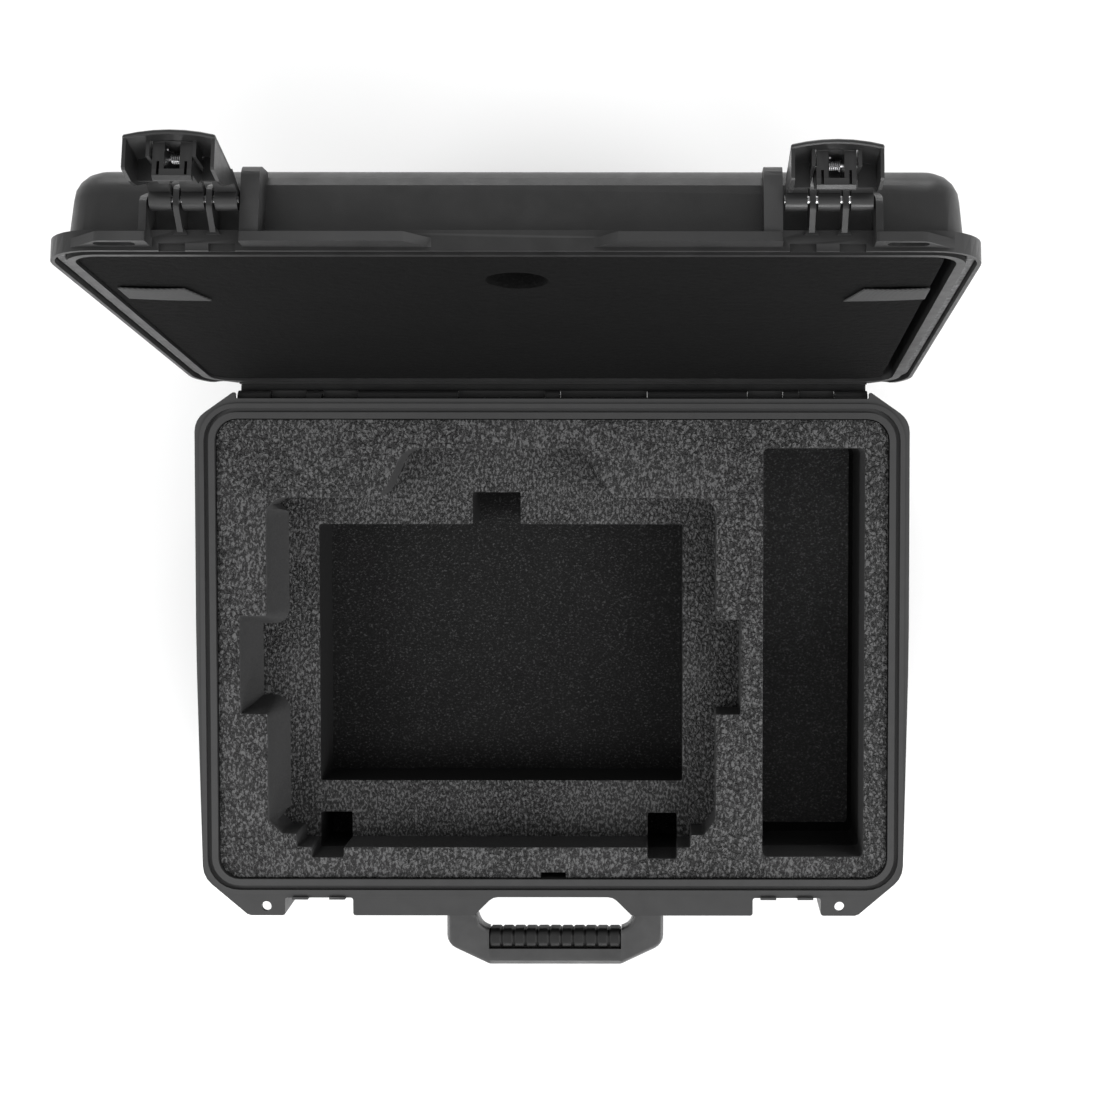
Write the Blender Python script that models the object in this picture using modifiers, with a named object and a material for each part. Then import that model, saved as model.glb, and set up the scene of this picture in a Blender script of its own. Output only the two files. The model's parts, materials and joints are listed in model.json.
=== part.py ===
"""Hard equipment case with a foam inlay: base, hinged lid, two press-and-pull latches and a folding handle.

Lengths are metres. X runs to the right, +Y to the hinge and +Z up. The origin is the centre of the base's
underside. The case stands open: the lid leans back on its stop, both latches are swung up on theirs and the
handle is pulled out level. Lid pieces are modelled where they lie with the lid shut, latch pieces where they
lie with the latch shut, and three nested empties then swing them open.
"""
import math

import bmesh
import bpy
from mathutils import Matrix, Vector

ASSEMBLY = "equipment_case"

# Overall sizes
BASE_HEIGHT = 0.130
LID_HEIGHT = 0.0458
LIP_FRONT = -0.1700
RIM_FRONT = -0.1584
RIM_BACK = 0.1650
RIM_SIDE = 0.2300
CLEAR = 0.0004
EDGE_STEPS = 5

# Inside of the base
WELL_HALF = 0.2170
WELL_FRONT = -0.1464
WELL_BACK = 0.1521
WELL_CORNER = 0.0140
FLOOR = 0.0040

# Rim: offsets outward from the well's edge
BAND = 0.0041
GROOVE = 0.0068
RIDGE = 0.0098
RIM = 0.0124
FLANGE_THICK = 0.0035
RIDGE_HEIGHT = 0.0010
LIP_GAP = 0.0021
LIP_TOP = 0.0068
PANEL_TOP = 0.0105

# Front recesses, as half widths or distances from the middle
RECESS_LIP = 0.0512
RECESS_FLOOR = 0.0390
RECESS_FRONT = -0.1580
LATCH_X = 0.1518
CUTOUT_HALF = 0.0221
EAR_END = 0.1975
PADLOCK_X = 0.1860
PADLOCK_Y = -0.1640

# Hinge
HINGE_Y = 0.1640
HINGE_Z = BASE_HEIGHT - 0.0105
BARREL = 0.0065
HINGE_HALF = 0.2030
LID_KNUCKLES = ((0.0051, 0.0607), (0.1260, 0.1485), (0.1593, 0.1815))
LID_OPEN = math.radians(99.7)
PIN_RADIUS = 0.0020
BORE_RADIUS = 0.0023
CORNER_CLEAR = 0.0125

# Latch, measured from its pivot
LATCH_Y = -0.1650
LATCH_Z = BASE_HEIGHT + 0.0235
LATCH_HALF = 0.0212
LATCH_LENGTH = 0.0510
LATCH_FACE = -0.0107
LATCH_LEAN = -0.0048
LATCH_SKIN = 0.0022
LATCH_CROWN = 0.0026
LATCH_KNUCKLE = 0.0052
KNUCKLE_HALF = 0.0053
LATCH_PITCH = 0.0157
LATCH_ROOT = -0.0105
LATCH_OPEN = {"left": math.radians(93.0), "right": math.radians(87.6)}
BUTTON_Y = -0.0080
BUTTON_Z = -0.0330
WINDOW_HALF = 0.0098
WINDOW_TOP = -0.0150
WINDOW_END = -0.0445

# Handle, level
HANDLE_Y = -0.1600
HANDLE_Z = BASE_HEIGHT - 0.0300
HANDLE_HALF = 0.0716
HANDLE_END = -0.2086
HANDLE_THICK = 0.0160
ARM_INNER = 0.0567
GRIP_HALF = 0.0433
GRIP_RIBS = 11
GRIP_FRONT = -0.1974
GRIP_BACK = -0.1847
TONGUE = 0.0030

# Foam, upwards from the floor
PAD_TOP = 0.0125
LOWER_TOP = 0.0440
MIDDLE_TOP = 0.0915
FOAM_TOP = 0.1270
SEAM = 0.0005
BAY = (0.1360, 0.2014, -0.1319, 0.1334)
POCKET = (-0.1570, 0.0840, -0.0883, 0.0826)
FEET = ((-0.1571, -0.1363, -0.1327, -0.1097), (0.0612, 0.0803, -0.1333, -0.1103))

# Relief valve in the front wall
VALVE_X = 0.1030
VALVE_Z = 0.0700

CHORD_ERROR = 0.00012


def clear_scene():
    for item in list(bpy.data.objects):
        bpy.data.objects.remove(item, do_unlink=True)


def material(name, colour, roughness, metallic=0.0):
    finish = bpy.data.materials.new(name)
    finish.use_nodes = True
    shader = finish.node_tree.nodes["Principled BSDF"]
    shader.inputs["Base Color"].default_value = (*colour, 1.0)
    shader.inputs["Roughness"].default_value = roughness
    shader.inputs["Metallic"].default_value = metallic
    finish.diffuse_color = (*colour, 1.0)
    return finish


# ---- outlines -------------------------------------------------------------------------------------------


def rounded(corners):
    """Turn (x, y, radius) corners of a closed outline into points, each corner an arc of its radius."""
    points = []
    for index, (x, y, radius) in enumerate(corners):
        here = Vector((x, y))
        if radius == 0:
            points.append(here)
            continue
        to_last = (Vector(corners[index - 1][:2]) - here).normalized()
        to_next = (Vector(corners[(index + 1) % len(corners)][:2]) - here).normalized()
        half = to_last.angle(to_next) / 2
        centre = here + (to_last + to_next).normalized() * radius / math.sin(half)
        start = here + to_last * radius / math.tan(half) - centre
        end = here + to_next * radius / math.tan(half) - centre
        first = math.atan2(start.y, start.x)
        sweep = math.remainder(math.atan2(end.y, end.x) - first, math.tau)
        steps = max(1, round(abs(sweep) / (2 * math.acos(1 - CHORD_ERROR / radius))))
        for step in range(steps + 1):
            angle = first + sweep * step / steps
            points.append(centre + radius * Vector((math.cos(angle), math.sin(angle))))
    return points


def rectangle(left, right, front, back, corner=0.0):
    return rounded([(left, front, corner), (right, front, corner), (right, back, corner), (left, back, corner)])


def well_outline(offset=0.0):
    """The well's edge, moved outward by an offset."""
    side = WELL_HALF + offset
    return rectangle(-side, side, WELL_FRONT - offset, WELL_BACK + offset, WELL_CORNER + offset)


def mirrored(half):
    """Close a right-hand half outline, front to back, with its mirror image."""
    return rounded(half + [(-x, y, radius) for x, y, radius in reversed(half)])


def rim_outline():
    """Plan of both rims: handle recess, latch cutouts, padlock ears, bowed sides and cut back corners."""
    inner, outer = LATCH_X - CUTOUT_HALF, LATCH_X + CUTOUT_HALF
    return mirrored([
        (RECESS_FLOOR, RECESS_FRONT, 0.008), (RECESS_LIP, LIP_FRONT, 0.001),
        (inner, LIP_FRONT, 0.0015), (inner, RIM_FRONT, 0.0015),
        (outer, RIM_FRONT, 0.0015), (outer, LIP_FRONT, 0.0015),
        (EAR_END, LIP_FRONT, 0.004), (0.2270, -0.1450, 0.016), (RIM_SIDE, 0.003, 1.5),
        (0.2297, 0.1516, 0.015), (HINGE_HALF + 0.0005, 0.1700, 0.001), (HINGE_HALF + 0.0005, RIM_BACK, 0.001),
    ])


# ---- solids ---------------------------------------------------------------------------------------------


def solid(name, mesh):
    piece = bpy.data.objects.new(name, mesh)
    bpy.context.scene.collection.objects.link(piece)
    return piece


def from_bmesh(name, shape):
    bmesh.ops.recalc_face_normals(shape, faces=shape.faces)
    mesh = bpy.data.meshes.new(name)
    shape.to_mesh(mesh)
    shape.free()
    return solid(name, mesh)


def extruded(name, outlines, thickness, place):
    """Closed prism of 2D outlines; the second and later ones are holes. A matrix puts it in place."""
    curve = bpy.data.curves.new(name, "CURVE")
    curve.dimensions = "2D"
    curve.fill_mode = "BOTH"
    curve.extrude = thickness / 2
    for outline in outlines:
        spline = curve.splines.new("POLY")
        spline.points.add(len(outline) - 1)
        for point, (x, y) in zip(spline.points, outline):
            point.co = (x, y, 0.0, 1.0)
        spline.use_cyclic_u = True
    return from_curve(name, curve, place, merge_flats=len(outlines) == 1)


def from_curve(name, curve, place, merge_flats=False):
    """Closed mesh of a curve object; a flat face's triangles can be merged into one polygon."""
    guide = solid(name, curve)
    flat = bpy.data.meshes.new_from_object(guide.evaluated_get(bpy.context.evaluated_depsgraph_get()))
    bpy.data.objects.remove(guide, do_unlink=True)
    shape = bmesh.new()
    shape.from_mesh(flat)
    bmesh.ops.remove_doubles(shape, verts=shape.verts, dist=1e-6)
    if merge_flats:
        bmesh.ops.dissolve_limit(shape, angle_limit=math.radians(0.1), verts=shape.verts, edges=shape.edges)
    shape.transform(place)
    return from_bmesh(name, shape)


def slab(name, outlines, low, high):
    return extruded(name, outlines, high - low, Matrix.Translation((0, 0, (low + high) / 2)))


def bar(name, outline, left, right):
    """Prism along X of a (y, z) outline."""
    turn = Matrix(((0, 0, 1, 0), (1, 0, 0, 0), (0, 1, 0, 0), (0, 0, 0, 1)))
    return extruded(name, [outline], right - left, Matrix.Translation(((left + right) / 2, 0, 0)) @ turn)


def block(name, left, right, front, back, low, high):
    shape = bmesh.new()
    size = Matrix.Diagonal((right - left, back - front, high - low, 1))
    centre = Matrix.Translation(((left + right) / 2, (front + back) / 2, (low + high) / 2))
    bmesh.ops.create_cube(shape, size=1.0, matrix=centre @ size)
    return from_bmesh(name, shape)


def rod(name, centre, axis, radius, length, segments=20):
    """Cylinder about a point along X, Y or Z."""
    turns = {
        "X": Matrix.Rotation(math.pi / 2, 4, "Y"),
        "Y": Matrix.Rotation(math.pi / 2, 4, "X"),
        "Z": Matrix.Identity(4),
    }
    shape = bmesh.new()
    bmesh.ops.create_cone(shape, cap_ends=True, segments=segments, radius1=radius, radius2=radius, depth=length,
                          matrix=Matrix.Translation(centre) @ turns[axis])
    return from_bmesh(name, shape)


def span(name, left, right, y, z, radius, segments=16):
    """Cylinder along X between two ends."""
    return rod(name, ((left + right) / 2, y, z), "X", radius, right - left, segments)


def ring(name, inner, outer, low, high):
    """Band that follows the well's edge between two offsets."""
    return slab(name, [well_outline(outer), well_outline(inner)], low, high)


def tub(name, outline, mouth, end, draft, edge):
    """Solid tray: full size at its mouth, narrower by the draft at its end, whose edge is rounded."""
    tray = slab(name, [outline], min(mouth, end), max(mouth, end))
    shape = bmesh.new()
    shape.from_mesh(tray.data)
    lows = [point for point in shape.verts if abs(point.co.z - end) < 1e-6]
    half = max(point.co.x for point in lows)
    middle = (max(point.co.y for point in lows) + min(point.co.y for point in lows)) / 2
    shrink = 1 - draft / half
    for point in lows:
        point.co.x *= shrink
        point.co.y = middle + (point.co.y - middle) * shrink
    edges = [line for line in shape.edges if all(abs(point.co.z - end) < 1e-6 for point in line.verts)]
    bmesh.ops.bevel(shape, geom=edges, offset=edge, segments=EDGE_STEPS, profile=0.5, affect="EDGES")
    bmesh.ops.recalc_face_normals(shape, faces=shape.faces)
    shape.to_mesh(tray.data)
    shape.free()
    return tray


def combine(body, operation, tools):
    """Join tools to a body, or cut them from it, and remove them."""
    for tool in tools:
        change = body.modifiers.new(operation.lower(), "BOOLEAN")
        change.operation = operation
        change.solver = "EXACT"
        change.object = tool
    result = bpy.data.meshes.new_from_object(body.evaluated_get(bpy.context.evaluated_depsgraph_get()))
    body.modifiers.clear()
    body.data = result
    for tool in tools:
        bpy.data.objects.remove(tool, do_unlink=True)
    return body


def join(body, tools):
    return combine(body, "UNION", tools)


def cut(body, tools):
    return combine(body, "DIFFERENCE", tools)


def soften(piece, width, segments=2, angle=40):
    """Round every sharp edge of a piece."""
    edge = piece.modifiers.new("soft edges", "BEVEL")
    edge.width = width
    edge.segments = segments
    edge.limit_method = "ANGLE"
    edge.angle_limit = math.radians(angle)
    result = bpy.data.meshes.new_from_object(piece.evaluated_get(bpy.context.evaluated_depsgraph_get()))
    piece.modifiers.clear()
    piece.data = result
    return piece


# ---- base -----------------------------------------------------------------------------------------------


def base_knuckles():
    """Gaps between the lid's knuckles, as (left, right) pairs over the whole hinge."""
    gap = 0.0005
    lid = sorted([(-b, -a) for a, b in LID_KNUCKLES] + list(LID_KNUCKLES))
    starts = [-HINGE_HALF] + [right + gap for _, right in lid]
    ends = [left - gap for left, _ in lid] + [HINGE_HALF]
    return list(zip(starts, ends))


def base_hinge():
    pieces = []
    for left, right in base_knuckles():
        pieces.append(span("knuckle", left, right, HINGE_Y, HINGE_Z, BARREL))
        web = [(0.1535, HINGE_Z - 0.0200), (0.1575, HINGE_Z - 0.0200), (HINGE_Y + 0.0040, HINGE_Z - 0.0045),
               (HINGE_Y, HINGE_Z + 0.0080), (0.1535, HINGE_Z + 0.0080)]
        pieces.append(bar("web", [Vector(point) for point in web], left + 0.0002, right - 0.0002))
    return pieces


def guard(x, depth, side):
    """Tapered wall under the front lip, at one side of a latch cutout or a handle arm."""
    top = BASE_HEIGHT - 0.001
    profile = rounded([(-0.1480, top - depth, 0), (-0.1560, top - depth, 0.004),
                       (-0.1675, top - depth + 0.0080, 0.005), (-0.1690, top, 0), (-0.1480, top, 0)])
    left, right = sorted((side * x, side * (x + 0.0040)))
    return bar("guard", profile, left, right)


def base_front(side):
    """One side's latch pocket, catch, locating tabs and handle brackets."""
    inner, outer = LATCH_X - CUTOUT_HALF, LATCH_X + CUTOUT_HALF
    pieces = [guard(inner - 0.0040, 0.0420, side), guard(outer, 0.0420, side)]
    pieces += [guard(ARM_INNER - 0.0047, 0.0375, side), guard(HANDLE_HALF + 0.0007, 0.0420, side)]
    for name, front, half in (("catch ledge", -0.1585, CUTOUT_HALF + 0.001), ("catch", -0.1612, 0.0120)):
        profile = rounded([(-0.1480, BASE_HEIGHT - 0.0160, 0), (front, BASE_HEIGHT - 0.0160, 0.001),
                           (front, BASE_HEIGHT - 0.0110, 0.001), (-0.1480, BASE_HEIGHT - 0.0060, 0)])
        pieces.append(bar(name, profile, side * LATCH_X - half, side * LATCH_X + half))
    for offset in (-0.0120, 0.0120):
        centre = side * (LATCH_X + offset)
        pieces.append(block("tab", centre - 0.0051, centre + 0.0051, -0.1592, -0.1576,
                            BASE_HEIGHT - 0.0030, BASE_HEIGHT + 0.0024))
    return pieces


def base_ribs():
    """Upright stiffeners on the side and back walls."""
    pieces = []
    top = BASE_HEIGHT - 0.001
    for side in (-1, 1):
        for y in (-0.1050, -0.0350, 0.0350, 0.1050):
            corners = ((0.2160, 0.0240), (0.2225, 0.0300), (0.2265, top), (0.2160, top))
            profile = [Vector((x, z)) for x, z in corners]
            turn = Matrix(((side, 0, 0, 0), (0, 0, 1, y), (0, 1, 0, 0), (0, 0, 0, 1)))
            pieces.append(extruded("side rib", [profile], 0.0080, turn))
    for x in (-0.1540, -0.0930, 0.0, 0.0930, 0.1540):
        profile = [Vector(point) for point in ((0.1515, 0.0240), (0.1580, 0.0300), (0.1615, HINGE_Z - 0.0080),
                                               (0.1515, HINGE_Z - 0.0080))]
        pieces.append(bar("back rib", profile, x - 0.0040, x + 0.0040))
    return pieces


def base_shell():
    shell = tub("base_shell", rectangle(-0.2215, 0.2215, -0.1509, 0.1570, 0.0190), BASE_HEIGHT - 0.0005, 0.0,
                0.0020, 0.0110)
    pieces = [slab("flange", [rim_outline()], BASE_HEIGHT - FLANGE_THICK, BASE_HEIGHT)]
    pieces.append(ring("ridge", GROOVE, RIDGE, BASE_HEIGHT - 0.002, BASE_HEIGHT + RIDGE_HEIGHT))
    pieces += base_hinge() + base_ribs() + base_front(-1) + base_front(1)
    join(shell, pieces)
    cutters = [tub("well", well_outline(), BASE_HEIGHT + 0.010, FLOOR, 0.0, 0.0080)]
    cutters.append(ring("groove", BAND, GROOVE, BASE_HEIGHT - 0.0025, BASE_HEIGHT + 0.010))
    cutters.append(span("hinge bore", -0.25, 0.25, HINGE_Y, HINGE_Z, BORE_RADIUS, 12))
    cutters.append(rod("valve bore", (VALVE_X, -0.148, VALVE_Z), "Y", 0.0065, 0.03))
    for side in (-1, 1):
        cutters.append(rod("padlock hole", (side * PADLOCK_X, PADLOCK_Y, BASE_HEIGHT), "Z", 0.0032, 0.03))
        left, right = sorted((side * 0.0500, side * 0.0800))
        cutters.append(span("handle bore", left, right, HANDLE_Y, HANDLE_Z, 0.0028, 12))
    return cut(shell, cutters)


# ---- lid ------------------------------------------------------------------------------------------------


def lid_hinge():
    """Skirt behind the base's rim, and the knuckles that hang from it."""
    low = BASE_HEIGHT - 0.0035
    pieces = [block("skirt root", -HINGE_HALF, HINGE_HALF, 0.1575, 0.1700, BASE_HEIGHT + LIP_GAP,
                    BASE_HEIGHT + LIP_TOP)]
    pieces.append(block("skirt", -HINGE_HALF + 0.0005, HINGE_HALF - 0.0005, HINGE_Y + 0.0020, 0.1699, low,
                        BASE_HEIGHT + LIP_GAP + 0.001))
    for side in (-1, 1):
        for near, far in LID_KNUCKLES:
            left, right = sorted((side * near, side * far))
            pieces.append(span("knuckle", left, right, HINGE_Y, HINGE_Z, BARREL))
            pieces.append(block("web", left + 0.0002, right - 0.0002, HINGE_Y + 0.0020, 0.1698, HINGE_Z,
                                low + 0.001))
    return pieces


def lid_front(side):
    """One side's latch pocket: plate, two pin ribs, an outer wall and an inner column."""
    inner, outer = LATCH_X - CUTOUT_HALF, LATCH_X + CUTOUT_HALF
    base = BASE_HEIGHT
    left, right = sorted((side * (inner - 0.001), side * (outer + 0.001)))
    pieces = [block("plate", left, right, RIM_FRONT, -0.1490, base + 0.0003, base + PANEL_TOP)]
    tip = LATCH_Y - 0.0047
    rib = rounded([(-0.1480, base + 0.0090, 0), (-0.1600, base + 0.0090, 0), (tip, LATCH_Z - 0.0050, 0.002),
                   (tip, LATCH_Z + 0.0055, 0.005), (-0.1480, LATCH_Z + 0.0140, 0)])
    flare = [Vector(point) for point in ((-0.0034, base + 0.0080), (0.0034, base + 0.0080),
                                         (0.0010, base + 0.0125), (-0.0010, base + 0.0125))]
    for offset in (-0.5, 0.5):
        x = side * (LATCH_X + offset * LATCH_PITCH)
        pieces.append(bar("pin rib", rib, x - 0.0014, x + 0.0014))
        turn = Matrix(((1, 0, 0, x), (0, 0, -1, -0.1560), (0, 1, 0, 0), (0, 0, 0, 1)))
        pieces.append(extruded("flare", [flare], 0.0080, turn))
    wall = rounded([(-0.1480, base + 0.0040, 0), (-0.1690, base + 0.0040, 0), (-0.1690, base + 0.0240, 0.006),
                    (-0.1480, base + 0.0330, 0)])
    left, right = sorted((side * outer, side * (outer + 0.0035)))
    pieces.append(bar("outer wall", wall, left, right))
    column = rounded([(-0.1480, base + 0.0040, 0), (-0.1680, base + 0.0040, 0), (-0.1665, base + 0.0405, 0.006),
                      (-0.1480, base + 0.0425, 0)])
    left, right = sorted((side * (inner - 0.0090), side * inner))
    pieces.append(bar("column", column, left, right))
    return pieces


def lid_shell():
    base = BASE_HEIGHT
    shell = tub("lid_shell", rectangle(-0.2212, 0.2212, -0.1525, 0.1572, 0.0190), base + 0.004,
                base + LID_HEIGHT, 0.0020, 0.0150)
    pieces = [slab("rim", [well_outline(RIM)], base + 0.0003, base + PANEL_TOP)]
    pieces.append(slab("lip", [rim_outline()], base + LIP_GAP, base + LIP_TOP))
    pieces += lid_hinge() + lid_front(-1) + lid_front(1)
    join(shell, pieces)
    cutters = [tub("cavity", rectangle(-0.2170, 0.2170, -0.1478, 0.1532, 0.0140), base - 0.010,
                   base + LID_HEIGHT - 0.0040, 0.0, 0.0110)]
    cutters.append(ring("gasket channel", 0.0048, 0.0103, base - 0.010, base + 0.0068))
    cutters.append(span("hinge bore", -0.25, 0.25, HINGE_Y, HINGE_Z, BORE_RADIUS, 12))
    inner, outer = LATCH_X - CUTOUT_HALF, LATCH_X + CUTOUT_HALF
    for side in (-1, 1):
        left, right = sorted((side * (inner + 0.0003), side * (outer - 0.0003)))
        cutters.append(span("latch bore", left, right, LATCH_Y, LATCH_Z, BORE_RADIUS, 12))
        cutters.append(rod("padlock hole", (side * PADLOCK_X, PADLOCK_Y, base), "Z", 0.0032, 0.03))
        left, right = sorted((side * 0.1800, side * 0.2000))
        cutters.append(slab("ear slot", [rectangle(left, right, -0.1672, -0.1612, 0.0025)], base - 0.005,
                            base + LIP_TOP - 0.0015))
        left, right = sorted((side * HINGE_HALF, side * 0.2400))
        cutters.append(span("corner clearance", left, right, HINGE_Y, HINGE_Z, CORNER_CLEAR, 48))
        for offset in (-0.0120, 0.0120):
            centre = side * (LATCH_X + offset)
            cutters.append(block("tab notch", centre - 0.0064, centre + 0.0064, -0.1601, -0.1571,
                                 base - 0.005, base + 0.0039))
    return cut(shell, cutters)


def lid_gasket():
    low, high = BASE_HEIGHT + 0.0030, BASE_HEIGHT + 0.0068 - CLEAR
    return ring("lid_gasket", 0.0048 + CLEAR, 0.0103 - CLEAR, low, high)


# ---- latch ----------------------------------------------------------------------------------------------


def face_at(z):
    """How far the latch's face stands before its pivot axis, at its middle: it leans out towards the tip."""
    return LATCH_FACE + LATCH_LEAN * (LATCH_ROOT - z) / (LATCH_LENGTH + LATCH_ROOT)


def leaf(name, half, levels, inset=0.0):
    """Crowned skin of even thickness, lofted along the latch's leaning face."""
    steps = 6
    spread = [half * (2 * step / steps - 1) for step in range(steps + 1)]
    shape = bmesh.new()
    rings = []
    for z in levels:
        front = [(x, face_at(z) + inset + LATCH_CROWN * (x / LATCH_HALF) ** 2) for x in spread]
        back = [(x, y + LATCH_SKIN) for x, y in reversed(front)]
        rings.append([shape.verts.new((x, y, z)) for x, y in front + back])
    for corner in range(len(rings[0])):
        after = (corner + 1) % len(rings[0])
        shape.faces.new((rings[0][corner], rings[0][after], rings[1][after], rings[1][corner]))
    shape.faces.new(rings[0])
    shape.faces.new(rings[1])
    return from_bmesh(name, shape)


def latch_body(name):
    body = leaf(name, LATCH_HALF, (-LATCH_LENGTH, LATCH_ROOT))
    soften(body, 0.0006, 1)
    pieces = []
    arm = [Vector(point) for point in ((-0.0051, 0.0), (-0.0100, -0.0149), (-0.0065, -0.0149), (-0.0005, 0.0))]
    for index in (-1, 0, 1):
        x = index * LATCH_PITCH
        pieces.append(span("knuckle", x - KNUCKLE_HALF, x + KNUCKLE_HALF, 0, 0, LATCH_KNUCKLE))
        pieces.append(bar("arm", arm, x - KNUCKLE_HALF, x + KNUCKLE_HALF))
    for side in (-1, 1):
        left, right = sorted((side * 0.0194, side * (LATCH_HALF - 0.0001)))
        cheek = rounded([(-0.0118, -0.0505, 0), (0.0035, -0.0505, 0.001), (0.0052, -0.0390, 0.002),
                         (0.0040, -0.0300, 0.003), (-0.0040, -0.0112, 0), (-0.0070, -0.0112, 0)])
        pieces.append(bar("side wall", cheek, left, right))
        left, right = sorted((side * 0.0110, side * 0.0198))
        pieces.append(block("cross wall", left, right, -0.0105, 0.0019, -0.0306, -0.0294))
        left, right = sorted((side * WINDOW_HALF, side * 0.0115))
        pin_wall = [Vector(point) for point in ((-0.0092, -0.0140), (-0.0128, -0.0460), (-0.0042, -0.0460),
                                                (-0.0042, -0.0140))]
        pieces.append(bar("pin wall", pin_wall, left, right))
    join(body, pieces)
    cutters = [block("window", -WINDOW_HALF, WINDOW_HALF, -0.02, 0.02, WINDOW_END, WINDOW_TOP)]
    cutters.append(span("pivot bore", -0.03, 0.03, 0, 0, BORE_RADIUS, 12))
    cutters.append(span("button bore", -0.0130, 0.0130, BUTTON_Y, BUTTON_Z, 0.0015, 12))
    return cut(body, cutters)


def latch_button(name):
    """Push button: a leaf that fills the latch's window, two slotted cheeks on the pin and a hook bar."""
    half = 0.0092
    body = leaf(name, half, (-0.0438, -0.0168), 0.0002)
    pieces = []
    for side in (-1, 1):
        left, right = sorted((side * 0.0036, side * (half - 0.0001)))
        cheek = [Vector(point) for point in ((-0.0130, -0.0434), (0.0030, -0.0434), (0.0030, -0.0300),
                                             (-0.0040, -0.0200), (-0.0100, -0.0200))]
        pieces.append(bar("cheek", cheek, left, right))
    pieces.append(block("cross bar", -0.0040, 0.0040, -0.0100, -0.0045, -0.0230, -0.0205))
    hook = [Vector(point) for point in ((0.0008, -0.0436), (0.0040, -0.0436), (0.0056, -0.0418),
                                        (0.0056, -0.0400), (0.0008, -0.0400))]
    pieces.append(bar("hook", hook, -half + 0.0002, half - 0.0002))
    join(body, pieces)
    cutters = [span("bore", -0.02, 0.02, BUTTON_Y, BUTTON_Z, 0.0015, 12)]
    for side in (-1, 1):
        left, right = sorted((side * 0.0058, side * 0.0070))
        cutters.append(block("slot", left, right, -0.0030, 0.0036, -0.0450, -0.0370))
    return cut(body, cutters)


def latch_spring(name):
    """Torsion spring round the button's pin: close turns and two short legs."""
    turns, per_turn, coil, wire = 5, 8, 0.0023, 0.0004
    length = 0.0056
    leg = BUTTON_Y - 0.0012
    points = [Vector((-length / 2, leg, BUTTON_Z - 0.0085))]
    for step in range(turns * per_turn + 1):
        angle = math.pi + math.tau * step / per_turn
        x = length * (step / (turns * per_turn) - 0.5)
        points.append(Vector((x, BUTTON_Y + coil * math.cos(angle), BUTTON_Z + coil * math.sin(angle))))
    points.append(Vector((length / 2, BUTTON_Y + 0.0012, BUTTON_Z + 0.0061)))
    curve = bpy.data.curves.new(name, "CURVE")
    curve.dimensions = "3D"
    curve.bevel_depth = wire
    curve.bevel_resolution = 0
    curve.use_fill_caps = True
    spline = curve.splines.new("POLY")
    spline.points.add(len(points) - 1)
    for point, place in zip(spline.points, points):
        point.co = (*place, 1.0)
    return from_curve(name, curve, Matrix.Identity(4))


# ---- handle ---------------------------------------------------------------------------------------------


def handle_frame():
    """Bail handle about its pivot: round arms, a bar with cut corners and a tongue that holds the grip."""
    corners = [(ARM_INNER, HANDLE_Y, 0), (ARM_INNER, -0.1705, 0.003), (0.0515, -0.1755, 0.004),
               (0.0486, GRIP_BACK, 0.009)]
    outer = [(HANDLE_HALF, HANDLE_Y, 0), (HANDLE_HALF, -0.1953, 0.010), (0.0435, HANDLE_END, 0.003)]
    outline = rounded(corners + [(-x, y, radius) for x, y, radius in reversed(corners)]
                      + [(-x, y, radius) for x, y, radius in outer] + list(reversed(outer)))
    low, high = HANDLE_Z - HANDLE_THICK / 2, HANDLE_Z + HANDLE_THICK / 2
    frame = slab("handle_frame", [outline], low, high)
    frame = soften(frame, 0.0030, 2, 60)
    for side in (-1, 1):
        left, right = sorted((side * ARM_INNER, side * HANDLE_HALF))
        join(frame, [span("eye", left, right, HANDLE_Y, HANDLE_Z, HANDLE_THICK / 2)])
    reach = GRIP_HALF + CLEAR
    cutters = [block("tongue end", -reach, reach, GRIP_BACK - 0.0035, -0.1800, low - 0.01, high + 0.01)]
    seat = GRIP_FRONT - CLEAR
    cutters.append(block("grip seat above", -reach, reach, seat, -0.1800, HANDLE_Z + TONGUE, high + 0.01))
    cutters.append(block("grip seat below", -reach, reach, seat, -0.1800, low - 0.01, HANDLE_Z - TONGUE))
    cutters.append(span("pin bore", -0.10, 0.10, HANDLE_Y, HANDLE_Z, 0.0028, 12))
    return cut(frame, cutters)


def handle_grip():
    """Soft grip lofted along X: rounded ribs with narrow valleys between, slotted for the frame's tongue."""
    pitch = 2 * GRIP_HALF / GRIP_RIBS
    sections = []
    for index in range(GRIP_RIBS):
        left = -GRIP_HALF + index * pitch
        sections += [(left, 0.0010), (left + 0.0012, 0.0), (left + pitch - 0.0012, 0.0)]
    sections.append((GRIP_HALF, 0.0010))
    shape = bmesh.new()
    rings = []
    for x, inset in sections:
        outline = rectangle(GRIP_FRONT + inset / 2, GRIP_BACK - inset, HANDLE_Z - 0.0085 + inset,
                            HANDLE_Z + 0.0085 - inset, 0.004)
        rings.append([shape.verts.new((x, y, z)) for y, z in outline])
    for first, second in zip(rings, rings[1:]):
        for corner in range(len(first)):
            after = (corner + 1) % len(first)
            shape.faces.new((first[corner], first[after], second[after], second[corner]))
    shape.faces.new(rings[0])
    shape.faces.new(rings[-1])
    slot = TONGUE + CLEAR
    return cut(from_bmesh("handle_grip", shape), [
        block("slot", -0.05, 0.05, GRIP_FRONT - 0.01, GRIP_BACK - 0.0035 + CLEAR, HANDLE_Z - slot,
              HANDLE_Z + slot)])


# ---- foam -----------------------------------------------------------------------------------------------


def foam_plan():
    return rectangle(-WELL_HALF + CLEAR, WELL_HALF - CLEAR, WELL_FRONT + CLEAR, WELL_BACK - CLEAR,
                     WELL_CORNER - CLEAR)


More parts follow.
